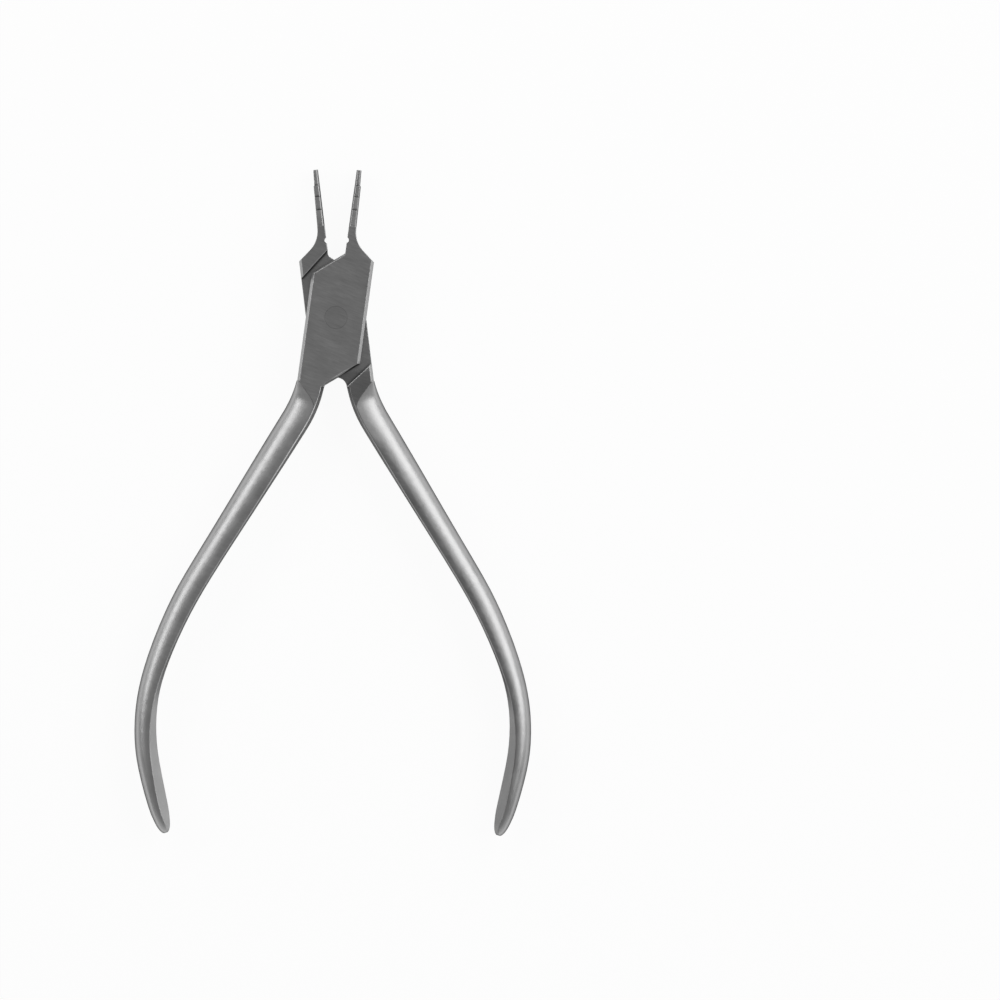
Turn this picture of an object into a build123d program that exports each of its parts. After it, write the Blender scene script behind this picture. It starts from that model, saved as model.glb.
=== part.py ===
from build123d import *

import os
from math import cos, radians, sin, tan

# Stepped loop-forming pliers with a box joint, lying on their back.
# The origin is on the pivot axis at the underside, +Y points to the tips and +Z is up.
# Each half is drawn closed, with its beak left of the mid-plane and its handle right of it,
# then opened about the pivot. The box half is the mirror image of that.
# Lengths are in millimetres and angles in degrees.

# Rest opening of each half, and how far a cut runs past what it cuts
half_opening_angle = 7.3
overrun = 2.0

# The joint block
joint_width = 11.7
joint_thickness = 7.7
joint_chamfer = 0.5
plate_top_chamfer = 0.3
plate_bottom_chamfer = 0.32
plate_bottom_chamfer_drop = 0.6
plate_end_angle = 38.4
plate_top_reach = 9.9
plate_bottom_reach = 10.25
scallop_half_length = 3.8
scallop_depth = 0.36

# The tongue and the shoulders that carry it
tongue_thickness = 2.8
tongue_top_reach = 9.5
tongue_bottom_reach = 9.85
tongue_play = 0.04
top_shoulder_angle = 40.8
top_shoulder_reach = 10.15
bottom_shoulder_angle = 35.7
bottom_shoulder_reach = 11.35
shoulder_chamfer = 0.15
top_crotch_radius = 1.0
bottom_crotch_start = 1.1
bottom_crotch_angle = 12.0

# The pivot pin
pin_radius = 2.2
pin_play = 0.03

# The stepped beaks, from the joint outwards
mid_gap = 0.1
beak_foot = 17.9
beak_foot_width = 1.42
beak_flare_radius = 5.4
beak_flare_angle = 50.6
base_step = 18.2
block_lengths = (3.1, 2.6, 2.3)
block_depths = (6.1, 5.0, 3.8)
block_top_width = 1.2
block_rounding = 0.25
inner_edge_rounding = 0.5
outer_edge_rounding = 0.35
tip_length = 3.1
tip_depth = 2.4
tip_back_relief = 0.8
tip_relief_ramp = 0.4
tip_foot_width = 1.06
tip_end_width = 0.9
notch_radius = 0.6
notch_depth = 0.35
notch_height = 15.35
notch_rounding = 0.25

# The handles, along their centre line from the joint
handle_width = 5.8
handle_root_share = 0.948
handle_proud = 0.12
handle_start = 13.5
handle_start_angle = 6.0
root_bend_radius = 25.0
root_bend_angle = 18.3
straight_length = 34.4
shoulder_bend_radius = 92.0
shoulder_bend_angle = 12.95
bow_radius = 38.0
bow_angle = 30.7
tail_radius = 138.0
tail_angle = 5.5
inner_bevel = 0.6
inner_edge_facet = 0.2
curve_fullness_share = 0.56

# Each row is a section of the handle: its place along the centre line, its width as a share of
# handle_width, half its height as a share of joint_thickness, the flat of its crest as a share of
# its width, the drop of its outer curve as a share of half its height, its inner bevel as a share
# of inner_bevel, the foot of that bevel as a share of half its height, and how steeply the outer
# curve leaves the crest, as a share of the drop
handle_section_shares = (
    (0.000, handle_root_share, 0.512, 0.800, 0.125, 0.83, 0.05, 0.17),
    (0.012, 0.957, 0.514, 0.500, 0.350, 0.84, 0.05, 0.17),
    (0.024, 0.968, 0.513, 0.220, 0.600, 0.85, 0.05, 0.16),
    (0.036, 0.978, 0.503, 0.070, 0.800, 0.85, 0.05, 0.14),
    (0.050, 0.986, 0.494, 0.055, 0.880, 0.84, 0.05, 0.12),
    (0.070, 0.991, 0.488, 0.050, 0.910, 0.82, 0.05, 0.10),
    (0.095, 0.991, 0.483, 0.050, 0.925, 0.78, 0.05, 0.08),
    (0.140, 0.979, 0.475, 0.050, 0.930, 0.70, 0.05, 0.04),
    (0.230, 0.936, 0.450, 0.050, 0.930, 0.52, 0.05, 0.01),
    (0.330, 0.876, 0.425, 0.050, 0.930, 0.45, 0.05, 0.00),
    (0.420, 0.840, 0.410, 0.050, 0.930, 0.43, 0.05, 0.00),
    (0.500, 0.822, 0.405, 0.050, 0.930, 0.43, 0.05, 0.00),
    (0.570, 0.782, 0.400, 0.050, 0.930, 0.45, 0.08, 0.00),
    (0.640, 0.737, 0.395, 0.050, 0.930, 0.56, 0.20, 0.00),
    (0.705, 0.712, 0.390, 0.050, 0.930, 0.95, 0.42, 0.00),
    (0.770, 0.725, 0.385, 0.050, 0.930, 1.57, 0.58, 0.00),
    (0.830, 0.740, 0.380, 0.050, 0.930, 2.10, 0.53, 0.00),
    (0.885, 0.724, 0.368, 0.050, 0.930, 2.50, 0.42, 0.00),
    (0.930, 0.676, 0.343, 0.050, 0.930, 2.68, 0.34, 0.00),
    (0.955, 0.620, 0.313, 0.050, 0.930, 2.48, 0.34, 0.00),
    (0.975, 0.515, 0.268, 0.050, 0.930, 1.85, 0.42, 0.00),
    (0.989, 0.385, 0.207, 0.050, 0.930, 1.15, 0.50, 0.00),
    (0.996, 0.255, 0.145, 0.050, 0.930, 0.66, 0.56, 0.00),
    (0.9992, 0.120, 0.075, 0.050, 0.930, 0.30, 0.60, 0.00),
)

# Values worked out from the ones above
half_width = joint_width / 2
mid_height = joint_thickness / 2
cheek_thickness = (joint_thickness - tongue_thickness) / 2
slot_floor = cheek_thickness - tongue_play
slot_height = tongue_thickness + 2 * tongue_play
beak_height = base_step + sum(block_lengths) + tip_length
root_width = handle_width * handle_root_share
root_centre = half_width + handle_proud - root_width / 2
root_tangent = (sin(radians(handle_start_angle)), -cos(radians(handle_start_angle)))
plate_end_run = (cos(radians(plate_end_angle)), -sin(radians(plate_end_angle)), 0)
scallop_radius = (scallop_half_length**2 + scallop_depth**2) / (2 * scallop_depth)


def rising(reach, angle, x):
    """Height, at x, of a line that rises to the right and passes the pivot at reach."""
    return (reach + x * sin(radians(angle))) / cos(radians(angle))


def falling(reach, angle, x):
    """Height, at x, of a line that falls to the right and passes the pivot at reach."""
    return rising(reach, angle, -x)


def root_plane_point(across):
    """Point of the plane where the handle begins, at a distance across from its middle."""
    return (root_centre - across * root_tangent[1], -handle_start + across * root_tangent[0])


# Corners that several outlines share
inner_root = root_plane_point(-root_width / 2)
outer_root = (half_width, -handle_start + (half_width - root_centre) * tan(radians(handle_start_angle)))
top_shoulder_inner = (-mid_gap, rising(top_shoulder_reach, top_shoulder_angle, -mid_gap))
top_shoulder_outer = (-half_width, rising(top_shoulder_reach, top_shoulder_angle, -half_width))
bottom_shoulder_inner = (
    inner_root[0],
    -falling(bottom_shoulder_reach, bottom_shoulder_angle, inner_root[0]),
)
bottom_shoulder_outer = (half_width, -falling(bottom_shoulder_reach, bottom_shoulder_angle, half_width))

# The stepped beak with its foot on the top shoulder
with BuildPart() as beak:
    with BuildSketch(Plane.XY):
        with BuildLine():
            step_height = beak_height - tip_length
            Line(top_shoulder_inner, (-mid_gap, beak_height))
            Polyline(
                (-mid_gap, beak_height),
                (-mid_gap - tip_end_width, beak_height),
                (-mid_gap - tip_foot_width, step_height),
                (-mid_gap - block_top_width, step_height),
                (-mid_gap - beak_foot_width, beak_foot),
            )
            flare = JernArc(
                (-mid_gap - beak_foot_width, beak_foot), (0, -1), beak_flare_radius, -beak_flare_angle
            )
            slope_end = flare @ 1 + flare % 1 * ((half_width + (flare @ 1).X) / -(flare % 1).X)
            Line(flare @ 1, slope_end)
            Polyline(slope_end, top_shoulder_outer, top_shoulder_inner)
        make_face()
        with Locations((notch_radius - notch_depth - mid_gap, notch_height)):
            Circle(notch_radius, mode=Mode.SUBTRACT)
        notch_corners = vertices().filter_by_position(
            Axis.Y, notch_height - notch_radius, notch_height + notch_radius
        )
        fillet(notch_corners.sort_by(Axis.X)[-2:], notch_rounding)
    extrude(amount=joint_thickness)
    with BuildSketch(Plane.YZ):
        with BuildLine():
            steps = [(step_height, tip_back_relief + tip_depth)]
            level = step_height
            for length, depth in zip(reversed(block_lengths), reversed(block_depths)):
                steps += [(level, depth), (level - length, depth)]
                level -= length
            Polyline(
                (0, 0),
                (step_height - tip_relief_ramp, 0),
                (step_height, tip_back_relief),
                (beak_height, tip_back_relief),
                (beak_height, tip_back_relief + tip_depth),
                *steps,
                (base_step, joint_thickness),
                (0, joint_thickness),
                close=True,
            )
        make_face()
        block_corners = [(level, depth) for level, depth in steps[1::2]]
        block_corners += [(base_step, joint_thickness), (beak_height, tip_back_relief + tip_depth)]
        for level, depth in block_corners:
            corner = vertices().sort_by_distance((0, level, depth))[0]
            fillet(corner, block_rounding)
    extrude(amount=joint_width, both=True, mode=Mode.INTERSECT)
    block_flats = faces().filter_by(Axis.Z).filter_by_position(
        Axis.Z, tip_back_relief + tip_depth / 2, block_depths[0] + block_rounding
    )
    fillet(block_flats.edges().filter_by(Axis.Y), inner_edge_rounding)

# The wedge between the bottom shoulder and the handle
with BuildPart() as handle_root:
    with BuildSketch(Plane.XY):
        with BuildLine():
            Polyline(bottom_shoulder_inner, bottom_shoulder_outer, outer_root, inner_root, close=True)
        make_face()
    extrude(amount=joint_thickness)

# The handle, lofted through its sections and ground flat where it meets the joint
with BuildLine() as centre_line:
    root_bend = JernArc((root_centre, -handle_start), root_tangent, root_bend_radius, root_bend_angle)
    straight = Line(root_bend @ 1, root_bend @ 1 + root_bend % 1 * straight_length)
    shoulder_bend = JernArc(straight @ 1, straight % 1, shoulder_bend_radius, -shoulder_bend_angle)
    bow = JernArc(shoulder_bend @ 1, shoulder_bend % 1, bow_radius, -bow_angle)
    JernArc(bow @ 1, bow % 1, tail_radius, -tail_angle)

with BuildPart() as handle:
    for place, width_share, height_share, *shape_shares in handle_section_shares:
        crest_share, drop_share, bevel_share, foot_share, steep_share = shape_shares
        middle = centre_line.line @ place + Vector(0, 0, mid_height)
        along = centre_line.line % place
        outward = Vector(-along.Y, along.X, 0)
        inner = -handle_width * width_share / 2
        top = joint_thickness * height_share
        bevel = inner_bevel * bevel_share
        shelf = top * foot_share
        crest = inner + bevel - 2 * inner * crest_share
        drop = top * drop_share
        lean = curve_fullness_share * (-inner - crest)
        sag = curve_fullness_share * drop
        dip = top - drop * steep_share
        facet = inner_edge_facet * width_share
        facet_start = (inner + bevel, top - facet)
        facet_end = (inner + bevel + facet, top)
        with BuildSketch(Plane(origin=middle, x_dir=outward, z_dir=along)):
            with BuildLine():
                Line((inner, -shelf), (inner, shelf))
                Polyline((inner, shelf), facet_start, facet_end, (crest, top))
                Bezier((crest, top), (crest + lean, dip), (-inner, top - drop + sag), (-inner, top - drop))
                Line((-inner, top - drop), (-inner, drop - top))
                Bezier((-inner, drop - top), (-inner, drop - top - sag), (crest + lean, -dip), (crest, -top))
                Polyline((crest, -top), (facet_end[0], -top), (facet_start[0], facet - top), (inner, -shelf))
            make_face()
    loft()
    split(bisect_by=Plane.XY.offset(joint_thickness), keep=Keep.BOTTOM)
    split(bisect_by=Plane.XY, keep=Keep.TOP)

# The tongue half, closed: a thin tongue between two full shoulders
with BuildPart() as tongue_closed:
    add(beak.part)
    add(handle_root.part)
    with BuildSketch(Plane.XY.offset(cheek_thickness)):
        with BuildLine():
            crotch_x = -bottom_crotch_start
            crotch_top = (crotch_x, -rising(tongue_bottom_reach, plate_end_angle, crotch_x))
            tongue_left = (-half_width, -rising(tongue_bottom_reach, plate_end_angle, -half_width))
            Polyline(
                crotch_top,
                tongue_left,
                top_shoulder_outer,
                top_shoulder_inner,
                (-mid_gap, falling(tongue_top_reach, plate_end_angle, -mid_gap)),
                (half_width, falling(tongue_top_reach, plate_end_angle, half_width)),
                bottom_shoulder_outer,
                bottom_shoulder_inner,
            )
            TangentArc(
                crotch_top,
                bottom_shoulder_inner,
                tangent=(cos(radians(bottom_crotch_angle)), -sin(radians(bottom_crotch_angle))),
            )
        make_face()
        top_crotch = vertices().sort_by_distance(
            (-mid_gap, falling(tongue_top_reach, plate_end_angle, -mid_gap))
        )[0]
        fillet(top_crotch, top_crotch_radius)
    extrude(amount=tongue_thickness)
    with BuildSketch(Plane.XY):
        Circle(pin_radius + pin_play)
    extrude(amount=joint_thickness, mode=Mode.SUBTRACT)
    flats = faces().filter_by(Axis.Z).group_by(Axis.Z)
    side_edges = (flats[0] + flats[-1]).edges().filter_by(Axis.Y)
    chamfer(side_edges.group_by(Axis.X)[0] + side_edges.group_by(Axis.X)[-1], joint_chamfer)
    flats = faces().filter_by(Axis.Z).group_by(Axis.Z)
    for angle in (top_shoulder_angle, bottom_shoulder_angle):
        shoulder_run = Axis((0, 0, 0), (cos(radians(angle)), sin(radians(angle)), 0))
        chamfer((flats[0] + flats[-1]).edges().filter_by(shoulder_run), shoulder_chamfer)
        flats = faces().filter_by(Axis.Z).group_by(Axis.Z)
    add(handle.part)

# The box half, closed: two cheeks with the slot for the tongue between them
with BuildPart() as box_closed:
    add(beak.part)
    block_flats = faces().filter_by(Axis.Z).filter_by_position(
        Axis.Z, tip_back_relief + tip_depth / 2, block_depths[0] + block_rounding
    )
    fillet([flat.edges().sort_by(Axis.X)[0] for flat in block_flats], outer_edge_rounding)
    with BuildSketch(Plane.XY):
        with BuildLine():
            Polyline(
                (half_width, falling(plate_top_reach, plate_end_angle, half_width)),
                (-mid_gap, falling(plate_top_reach, plate_end_angle, -mid_gap)),
                top_shoulder_inner,
                top_shoulder_outer,
                (-half_width, -rising(plate_bottom_reach, plate_end_angle, -half_width)),
                (inner_root[0], -rising(plate_bottom_reach, plate_end_angle, inner_root[0])),
                inner_root,
                outer_root,
                close=True,
            )
        make_face()
    extrude(amount=joint_thickness)
    flats = faces().filter_by(Axis.Z).group_by(Axis.Z)
    side_edges = (flats[0] + flats[-1]).edges().filter_by(Axis.Y)
    chamfer(side_edges.group_by(Axis.X)[0] + side_edges.group_by(Axis.X)[-1], joint_chamfer)
    for side in (0, -1):
        flat = faces().filter_by(Axis.Z).group_by(Axis.Z)[side].sort_by(SortBy.AREA)[-1]
        end_edges = flat.edges().filter_by(Axis((0, 0, 0), plate_end_run)).sort_by(Axis.Y)
        chamfer(end_edges[-1], plate_top_chamfer)
        chamfer(end_edges[0], plate_bottom_chamfer, plate_bottom_chamfer_drop, reference=flat)
    scallop_x = (inner_root[0] - half_width) / 2
    scallop_y = -rising(plate_bottom_reach, plate_end_angle, scallop_x)
    for level, facing in ((0, -1), (joint_thickness, 1)):
        wheel_axis = Vector(plate_end_run[1], -plate_end_run[0], -facing)
        with BuildSketch(Plane(origin=(scallop_x, scallop_y, level), x_dir=plate_end_run, z_dir=wheel_axis)):
            with Locations((0, facing * (scallop_radius - scallop_depth))):
                Circle(scallop_radius)
        extrude(amount=overrun, both=True, mode=Mode.SUBTRACT)
    with BuildSketch(Plane.XY.offset(slot_floor)):
        with BuildLine():
            reach_x = half_width + overrun
            Polyline(
                (-reach_x, rising(top_shoulder_reach, top_shoulder_angle, -reach_x)),
                (reach_x, rising(top_shoulder_reach, top_shoulder_angle, reach_x)),
                (reach_x, -falling(bottom_shoulder_reach, bottom_shoulder_angle, reach_x)),
                (-reach_x, -falling(bottom_shoulder_reach, bottom_shoulder_angle, -reach_x)),
                close=True,
            )
        make_face()
    extrude(amount=slot_height, mode=Mode.SUBTRACT)
    with BuildSketch(Plane.XY):
        Circle(pin_radius)
    extrude(amount=joint_thickness, mode=Mode.SUBTRACT)
    add(handle.part)

# Both halves opened to the rest pose
with BuildPart() as tongue_half:
    add(tongue_closed.part, rotation=(0, 0, half_opening_angle))
tongue_half.part.label = "tongue_half"

with BuildPart() as box_half:
    add(box_closed.part, rotation=(0, 0, half_opening_angle))
    mirror(about=Plane.YZ, mode=Mode.REPLACE)
box_half.part.label = "box_half"

# The pin, pressed into both cheeks and ground flush with them
with BuildPart() as pivot_pin:
    with BuildSketch(Plane.XY):
        Circle(pin_radius)
    extrude(amount=joint_thickness)
pivot_pin.part.label = "pivot_pin"

os.makedirs("parts", exist_ok=True)
export_step(tongue_half.part, "parts/tongue_half.step")
export_step(box_half.part, "parts/box_half.step")
export_step(pivot_pin.part, "parts/pivot_pin.step")
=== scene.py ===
import math
from types import SimpleNamespace

import bpy
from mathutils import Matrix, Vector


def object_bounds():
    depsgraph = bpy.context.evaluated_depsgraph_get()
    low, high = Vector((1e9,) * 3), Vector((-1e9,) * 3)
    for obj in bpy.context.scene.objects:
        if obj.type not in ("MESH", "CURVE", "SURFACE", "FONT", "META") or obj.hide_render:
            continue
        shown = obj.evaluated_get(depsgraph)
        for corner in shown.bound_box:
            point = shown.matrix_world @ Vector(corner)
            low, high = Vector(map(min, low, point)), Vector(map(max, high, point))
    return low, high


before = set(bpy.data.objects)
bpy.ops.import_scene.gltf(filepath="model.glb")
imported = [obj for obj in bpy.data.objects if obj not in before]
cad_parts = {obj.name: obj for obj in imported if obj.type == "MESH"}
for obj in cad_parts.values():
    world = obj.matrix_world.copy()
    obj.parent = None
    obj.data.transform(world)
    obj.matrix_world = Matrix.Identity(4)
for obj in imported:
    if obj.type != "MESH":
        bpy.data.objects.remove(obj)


def corners(box):
    """The two corners of a box as plain lists."""
    return [list(corner) for corner in box]


cad_box = corners(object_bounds())

# The photograph: PIXELS a side, with the pivot at PIVOT_PIXEL, taken from far above
PIXELS = 1000
PIXELS_PER_METRE = 5100
PIVOT_PIXEL = (336.1, 317.8)
ROLL = math.radians(0.46)
LENS = 600
SENSOR = 36

# Where the finish changes on the object, in metres from the pivot
BASE_STEP = 0.0182
BASE_STEP_BAND = 0.0016
ROOT_START = -0.011
HANDLE_START = -0.0135
ROOT_END = -0.019
STRAIGHT_MIDDLE = -0.040
BOW_START = -0.066
BOW_BLEND = 0.006
BLEND = 0.001
PIN_RADIUS = 0.0022
SEAM_HALF_WIDTH = 0.00009

# Fine detail in metres, and clouds and grains to the metre
CAVITY_REACH = 0.001
WORN_RADIUS = 0.00018
BUMP_DEPTH = 0.00002
BUMP_STRENGTH = 0.22
CLOUDS = 240.0
GRAINS = 5200.0

# Shares of the steel's own tone: under 1 is darker and over 1 is lighter. The steep, inner wall, inner
# bow, block wall and cavity shares are painted shade, and EDGE_ON_TONE paints shade through the edge tint
STEEP_TONE = 0.42
OUTER_STEEP_TONE = 0.8
INNER_WALL_TONE = 0.3
INNER_BOW_TONE = 0.85
EDGE_ON_TONE = 0.08
SEAM_TONE = 0.72
BLOCK_WALL_TONE = 0.72
BLOCK_FLAT_TONE = 1.32
CAVITY_TONE = 0.14
NECK_CAVITY_TONE = 0.5
BASE_CAVITY_TONE = 0.9

# Worn edges have a tone and a roughness of their own, the tone also a painted highlight, and
# PIN_PROTECTION takes them off the pin's ring
WORN_AND_HIGHLIGHT_TONE = 0.44
WORN_ROUGHNESS = 0.4
PIN_PROTECTION = 0.75

# How far lines, grains and clouds change the tone and the roughness
LINES_IN_TONE = 0.75
GRAINS_IN_TONE = 0.16
CLOUDS_IN_TONE = 0.18
LINES_IN_ROUGHNESS = 0.16
CLOUDS_IN_ROUGHNESS = 0.12

# Grinding lines: how many to the metre along and across them, their detail and their share
LAY = math.radians(-21)
GRINDING_LINES = ((500, 6500, 3.0, 0.4), (330, 2600, 2.0, 0.4), (70, 700, 2.0, 0.2))

scene = bpy.context.scene
scene.view_settings.view_transform = "Standard"


class Nodes:
    """A small helper that adds nodes to a material or a world and links them."""

    def __init__(self, owner):
        owner.use_nodes = True
        self.tree = owner.node_tree
        self.tree.nodes.clear()

    def add(self, kind, inputs=None, **settings):
        node = self.tree.nodes.new(kind)
        for key, value in settings.items():
            setattr(node, key, value)
        for key, value in (inputs or {}).items():
            self.feed(node.inputs[key], value)
        return node

    def feed(self, socket, value):
        if isinstance(value, bpy.types.NodeSocket):
            self.tree.links.new(value, socket)
        else:
            socket.default_value = value

    def math(self, operation, a, b=0.0, clamp=False):
        return self.add("ShaderNodeMath", {0: a, 1: b}, operation=operation, use_clamp=clamp).outputs[0]

    def product(self, first, *others):
        for other in others:
            first = self.math("MULTIPLY", first, other)
        return first

    def gap(self, a, b):
        """How far one value is from another."""
        return self.math("ABSOLUTE", self.math("SUBTRACT", a, b))

    def vary(self, value, amount, centre=0.5):
        """A texture value as a change of plus or minus half of amount."""
        return self.math("MULTIPLY", self.math("SUBTRACT", value, centre), amount)

    def ramp(self, value, low, high, out_low=0.0, out_high=1.0):
        node = self.add(
            "ShaderNodeMapRange",
            {"Value": value, "From Min": low, "From Max": high, "To Min": out_low, "To Max": out_high},
            interpolation_type="SMOOTHSTEP",
        )
        return node.outputs["Result"]

    def mix(self, factor, a, b):
        return self.add("ShaderNodeMix", {0: factor, 2: a, 3: b}, data_type="FLOAT").outputs[0]

    def noise(self, vector, scale, detail=2.0, roughness=0.5):
        inputs = {"Vector": vector, "Scale": scale, "Detail": detail, "Roughness": roughness}
        return self.add("ShaderNodeTexNoise", inputs).outputs[0]

    def ground_lines(self, vector):
        """Noise drawn out into lines along LAY, coarse and fine together."""
        turned = self.add("ShaderNodeMapping", {"Vector": vector, "Rotation": (0, 0, -LAY)}).outputs[0]
        total = 0.0
        for along, across, detail, share in GRINDING_LINES:
            scale = (along, across, across)
            drawn = self.add("ShaderNodeMapping", {"Vector": turned, "Scale": scale}).outputs[0]
            lines = self.noise(drawn, 1.0, detail, 0.6)
            total = self.math("ADD", self.math("MULTIPLY", lines, share), total)
        return total

    def seen_directly(self):
        """1 for rays from the camera, in a mirror or through glass, and 0 for light on a surface."""
        path = self.add("ShaderNodeLightPath").outputs
        seen = self.math("ADD", path["Is Camera Ray"], path["Is Glossy Ray"])
        return self.math("ADD", seen, path["Is Transmission Ray"], clamp=True)


def grey(value):
    return (value, value, value, 1.0)


def places(n):
    """Where a point lies on the object, with each part of a half as a value from 0 to 1."""
    coordinates = n.add("ShaderNodeTexCoord").outputs
    point = n.add("ShaderNodeSeparateXYZ", {0: coordinates["Object"]}).outputs
    normal = n.add("ShaderNodeSeparateXYZ", {0: coordinates["Normal"]}).outputs
    x, y = point["X"], point["Y"]
    radius = n.math("SQRT", n.math("ADD", n.product(x, x), n.product(y, y)))
    upright = n.math("ABSOLUTE", normal["Z"])
    beak = n.ramp(y, 0.0, BLEND)
    return SimpleNamespace(
        here=coordinates["Object"],
        y=y,
        radius=radius,
        upright=upright,
        flat=n.ramp(upright, 0.985, 0.999),
        beak=beak,
        block=n.product(beak, n.ramp(radius, BASE_STEP, BASE_STEP + BASE_STEP_BAND / 4)),
        root=n.ramp(y, ROOT_START + BLEND, ROOT_START),
        handle=n.ramp(y, HANDLE_START + BLEND, HANDLE_START - BLEND),
        bow=n.ramp(y, BOW_START, BOW_START - BOW_BLEND),
        inner=n.math("LESS_THAN", n.math("MULTIPLY", x, normal["X"]), 0.0),
    )


def wall_shade(n, at, bevel_shade_tone):
    """Painted shade: steep parts of the roundings and the inner walls are darker, and the broad inner
    bevel at the bow gets a painted shade of its own.
    """
    rounding = n.product(n.ramp(at.upright, 0.66, 0.5), n.ramp(at.upright, 0.02, 0.12))
    draft = n.product(n.ramp(at.upright, 0.78, 0.5), n.ramp(at.upright, 0.2, 0.4))
    steep = n.mix(n.product(at.handle, at.inner), rounding, draft)
    inner_tone = n.mix(at.bow, INNER_WALL_TONE, INNER_BOW_TONE)
    steep_tone = n.mix(at.handle, STEEP_TONE, n.mix(at.inner, OUTER_STEEP_TONE, inner_tone))
    bevel = n.product(at.bow, at.inner, n.ramp(at.upright, 0.95, 0.88))
    return n.product(n.mix(steep, 1.0, steep_tone), n.mix(bevel, 1.0, bevel_shade_tone))


def cavity_shade(n, at, openness):
    """Painted shade: a dark line in the cavities, found by ambient occlusion, but hardly any where the
    beak rises from its foot.
    """
    base = n.product(at.beak, n.ramp(n.gap(at.radius, BASE_STEP), BASE_STEP_BAND, BASE_STEP_BAND / 2))
    corner_shade = n.ramp(at.y, HANDLE_START / 2, 0.0, NECK_CAVITY_TONE, CAVITY_TONE)
    corner_shade = n.mix(base, corner_shade, BASE_CAVITY_TONE)
    return n.mix(n.ramp(openness, 0.56, 0.82), corner_shade, 1.0)


def worn_and_highlighted_edges(n, at, openness):
    """The rounded normal of sharp edges, how like the true one it is, and where the edges are worn and
    carry a painted highlight.
    """
    beside_seam = n.ramp(n.gap(at.radius, PIN_RADIUS), SEAM_HALF_WIDTH * 4, SEAM_HALF_WIDTH * 2)
    around_pin = n.product(beside_seam, PIN_PROTECTION)
    facing = n.add("ShaderNodeNewGeometry").outputs["Normal"]
    worn = n.add("ShaderNodeBevel", {"Radius": WORN_RADIUS}, samples=8).outputs[0]
    blend = n.add("ShaderNodeMix", {0: around_pin, 4: worn, 5: facing}, data_type="VECTOR")
    rounded = blend.outputs[1]
    compared = n.add("ShaderNodeVectorMath", {0: rounded, 1: facing}, operation="DOT_PRODUCT")
    likeness = compared.outputs["Value"]
    edge = n.product(n.ramp(likeness, 0.975, 0.88), n.ramp(openness, 0.93, 0.99))
    return rounded, likeness, n.product(edge, n.math("SUBTRACT", 1.0, around_pin))


def crease_shade(n, at, likeness, crease_shade_tone):
    """Painted shade: the flat of the root ends in a fine dark line."""
    slight = n.product(n.ramp(likeness, 0.9996, 0.9984), n.ramp(likeness, 0.98, 0.99))
    crease = n.product(slight, at.handle, n.ramp(at.y, ROOT_END, ROOT_END + BLEND))
    return n.mix(crease, 1.0, crease_shade_tone)


def seam_block_and_root_shade(n, at, root_tone):
    """The pin's seam is dark, the block tops are lighter while the block roundings carry painted shade,
    and the root flats have a tone of their own.
    """
    seam = n.ramp(n.gap(at.radius, PIN_RADIUS), SEAM_HALF_WIDTH, SEAM_HALF_WIDTH / 4)
    seam_shade = n.mix(n.product(seam, at.flat), 1.0, SEAM_TONE)
    block_shade = n.mix(at.block, 1.0, n.mix(at.flat, BLOCK_WALL_TONE, BLOCK_FLAT_TONE))
    root_shade = n.mix(n.product(at.flat, at.root), 1.0, root_tone)
    return n.product(seam_shade, block_shade, root_shade)


def painted_inner_edge(n, at):
    """The slanted facet of the inner edge near the joint, which is painted lighter as a highlight, most
    of all on the box half.
    """
    slanted = n.product(n.ramp(at.upright, 0.64, 0.69), n.ramp(at.upright, 0.78, 0.73))
    near_joint = n.ramp(at.y, STRAIGHT_MIDDLE, STRAIGHT_MIDDLE / 2)
    return n.product(slanted, at.handle, at.inner, near_joint)


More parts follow.
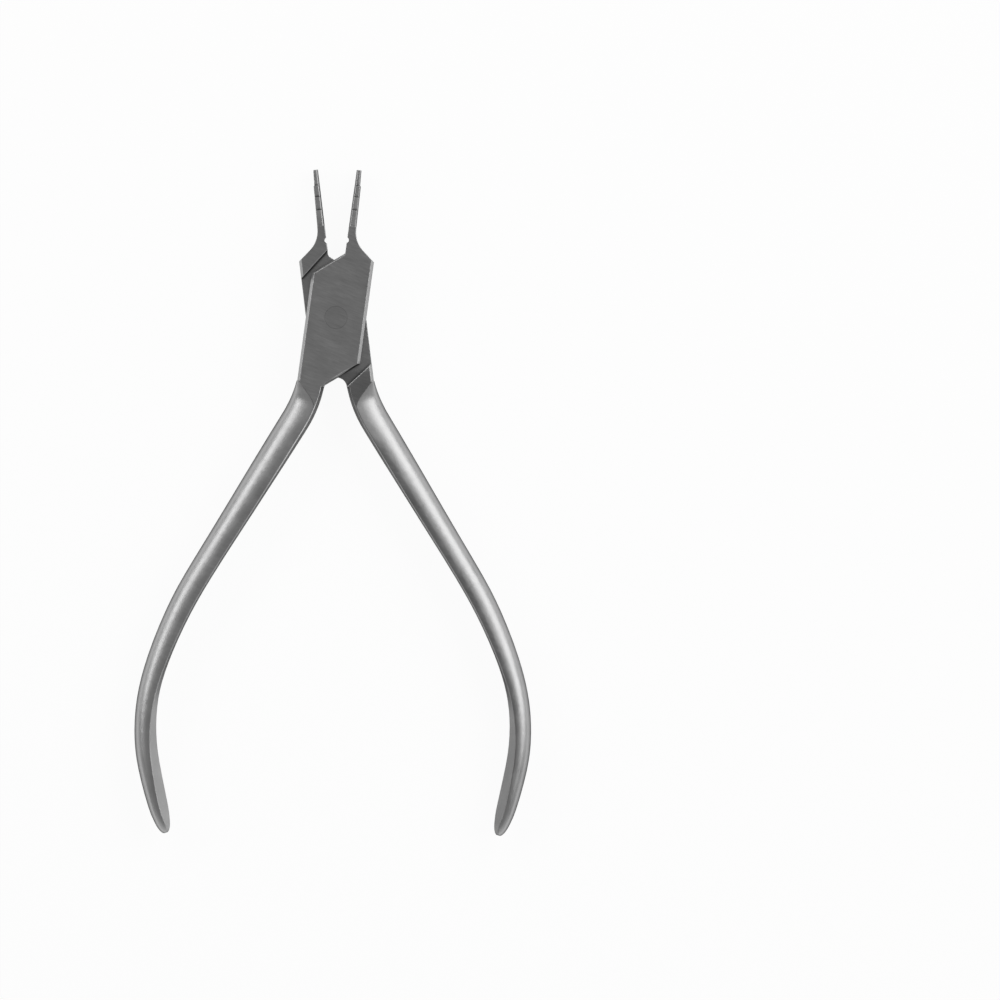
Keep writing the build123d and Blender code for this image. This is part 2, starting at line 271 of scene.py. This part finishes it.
def steel(
    name,
    tone,
    flat_roughness,
    satin_roughness,
    flat_tone=1.0,
    root_tone=1.0,
    crease_shade_tone=1.0,
    painted_edge_tone=0.4,
    bevel_shade_tone=1.0,
):
    """Stainless steel: flats ground with fine lines and the rest blasted to a satin, with painted shade
    on walls, creases and cavities and a painted highlight on edges.
    """
    material = bpy.data.materials.new(name)
    n = Nodes(material)
    at = places(n)
    streak = n.ground_lines(at.here)
    cloud = n.noise(at.here, CLOUDS, 3.0)
    grain = n.noise(at.here, GRAINS, 3.0, 0.7)
    reach = {"Distance": CAVITY_REACH}
    openness = n.add("ShaderNodeAmbientOcclusion", reach, samples=8, only_local=True).outputs["AO"]
    rounded, likeness, edge = worn_and_highlighted_edges(n, at, openness)
    wear_and_highlight = n.product(edge, n.ramp(cloud, 0.3, 0.65, 0.15, 0.6))

    rough = n.mix(at.flat, satin_roughness, flat_roughness)
    rough = n.math("ADD", rough, n.vary(cloud, CLOUDS_IN_ROUGHNESS))
    rough = n.math("ADD", rough, n.vary(streak, LINES_IN_ROUGHNESS))
    rough = n.mix(wear_and_highlight, rough, WORN_ROUGHNESS)

    # shade is painted shade of walls, bevels, cavities, creases and block roundings, together with the
    # pin's dark seam and the tones of the block tops and root flats
    shade = n.product(
        wall_shade(n, at, bevel_shade_tone),
        cavity_shade(n, at, openness),
        crease_shade(n, at, likeness, crease_shade_tone),
        seam_block_and_root_shade(n, at, root_tone),
    )
    lines = n.math("ADD", 1.0, n.vary(streak, LINES_IN_TONE))
    speckle = n.math("ADD", 1.0, n.vary(grain, GRAINS_IN_TONE))
    mottle = n.math("ADD", 1.0, n.vary(cloud, CLOUDS_IN_TONE))
    finish = n.mix(at.flat, speckle, n.math("MULTIPLY", lines, flat_tone))
    value = n.product(finish, mottle, shade, tone)
    # Painted highlight: worn edges take the plain steel tone, lighter than the painted shade around them,
    # and the slanted inner edge near the joint takes its painted tone
    value = n.mix(painted_inner_edge(n, at), n.mix(wear_and_highlight, value, WORN_AND_HIGHLIGHT_TONE), painted_edge_tone)

    height = n.mix(at.flat, grain, streak)
    surface = {"Height": height, "Strength": BUMP_STRENGTH, "Distance": BUMP_DEPTH, "Normal": rounded}
    shader = n.add(
        "ShaderNodeBsdfPrincipled",
        {
            "Base Color": n.add("ShaderNodeCombineColor", {0: value, 1: value, 2: value}).outputs[0],
            "Metallic": 1.0,
            "Roughness": rough,
            # Painted shade: a low edge tint darkens the steep walls where they are seen edge-on
            "Specular Tint": n.ramp(at.upright, 0.3, 0.75, EDGE_ON_TONE, 1.0),
            "Normal": n.add("ShaderNodeBump", surface).outputs[0],
        },
    )
    n.add("ShaderNodeOutputMaterial", {"Surface": shader.outputs[0]})
    return material


finishes = {
    "box_half": steel(
        "box_steel",
        tone=0.44,
        flat_roughness=0.32,
        satin_roughness=0.38,
        flat_tone=1.06,
        root_tone=1.02,
        crease_shade_tone=0.5,
        painted_edge_tone=0.85,
        bevel_shade_tone=0.98,
    ),
    "tongue_half": steel(
        "tongue_steel",
        tone=0.43,
        flat_roughness=0.30,
        satin_roughness=0.38,
        flat_tone=1.02,
        root_tone=0.74,
        bevel_shade_tone=0.72,
    ),
    "pivot_pin": steel(
        "pin_steel", tone=0.44, flat_roughness=0.31, satin_roughness=0.34, flat_tone=1.03
    ),
}
for name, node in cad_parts.items():
    node.data.materials.clear()
    node.data.materials.append(finishes[name])

# The floor is white paper that keeps the object's shadow, FLOOR_GAP below the object's underside
FLOOR_HALF = 1.5
FLOOR_GAP = 0.00002
FLOOR_LEVEL = cad_box[0][2] - FLOOR_GAP
PAPER_WHITE = 0.95
PAPER_GLOW = 0.94
floor_mesh = bpy.data.meshes.new("floor")
floor_signs = ((-1, -1), (1, -1), (1, 1), (-1, 1))
floor_corners = [(x * FLOOR_HALF, y * FLOOR_HALF, FLOOR_LEVEL) for x, y in floor_signs]
floor_mesh.from_pydata(floor_corners, [], [(0, 1, 2, 3)])
floor = bpy.data.objects.new("floor", floor_mesh)
scene.collection.objects.link(floor)
paper = bpy.data.materials.new("paper")
n = Nodes(paper)
paper_shader = n.add("ShaderNodeBsdfDiffuse", {"Color": grey(PAPER_WHITE)})
glow = n.add("ShaderNodeEmission", {"Color": grey(1.0), "Strength": 1.0})
share = n.math("MULTIPLY", n.seen_directly(), PAPER_GLOW)
mixed = n.add("ShaderNodeMixShader", {0: share, 1: paper_shader.outputs[0], 2: glow.outputs[0]})
n.add("ShaderNodeOutputMaterial", {"Surface": mixed.outputs[0]})
floor_mesh.materials.append(paper)

# The room: dim overhead, a little lighter low down at the front, and white at the horizon
OVERHEAD_LIGHT = 0.24
SIDE_LIGHT = 0.3
FRONT_LIGHT = 0.4
world = bpy.data.worlds.new("studio")
scene.world = world
n = Nodes(world)
sky = n.add("ShaderNodeTexCoord").outputs["Generated"]
towards = n.add("ShaderNodeSeparateXYZ", {0: sky}).outputs
backdrop = n.product(n.seen_directly(), n.ramp(towards["Z"], 0.12, 0.08))
front = n.product(
    n.ramp(towards["Y"], -0.35, -0.7), n.ramp(towards["Z"], 0.75, 0.6, 0.0, FRONT_LIGHT)
)
dome = n.math("ADD", n.ramp(towards["Z"], 0.75, 0.2, OVERHEAD_LIGHT, SIDE_LIGHT), front)
strength = n.mix(backdrop, dome, 1.0)
background = n.add("ShaderNodeBackground", {"Color": grey(1.0), "Strength": strength})
n.add("ShaderNodeOutputWorld", {"Surface": background.outputs[0]})

# Two soft lamps look at LAMP_TARGET from LAMP_DISTANCE away
LAMP_TARGET = (0.0, -0.035, 0.0)
LAMP_DISTANCE = 0.8


def softbox(name, azimuth, off_axis, size, radiance):
    """A rectangular lamp, off_axis degrees away from straight up and azimuth degrees round."""
    light = bpy.data.lights.new(name, "AREA")
    light.shape = "RECTANGLE"
    light.size, light.size_y = size
    light.energy = radiance * math.pi * size[0] * size[1]
    lamp = bpy.data.objects.new(name, light)
    turn, tilt = math.radians(azimuth), math.radians(off_axis)
    direction = (math.cos(turn) * math.sin(tilt), math.sin(turn) * math.sin(tilt), math.cos(tilt))
    lamp.location = [t + LAMP_DISTANCE * d for t, d in zip(LAMP_TARGET, direction)]
    lamp.rotation_euler = (0, tilt, turn)
    scene.collection.objects.link(lamp)
    return lamp


softbox("left_softbox", azimuth=143, off_axis=55, size=(0.30, 0.9), radiance=2.5)
softbox("right_softbox", azimuth=32, off_axis=53, size=(0.50, 1.0), radiance=2.25)

# The camera looks straight down, as in the photograph
camera_data = bpy.data.cameras.new("camera")
camera_data.lens = LENS
camera_data.sensor_width = SENSOR
camera = bpy.data.objects.new("camera", camera_data)
scene.collection.objects.link(camera)
right = (PIXELS / 2 - PIVOT_PIXEL[0]) / PIXELS_PER_METRE
down = (PIXELS / 2 - PIVOT_PIXEL[1]) / PIXELS_PER_METRE
mid_height = (cad_box[0][2] + cad_box[1][2]) / 2
camera.location = (
    right * math.cos(ROLL) + down * math.sin(ROLL),
    right * math.sin(ROLL) - down * math.cos(ROLL),
    mid_height + PIXELS / PIXELS_PER_METRE * LENS / SENSOR,
)
camera.rotation_euler = (0, 0, ROLL)
scene.camera = camera
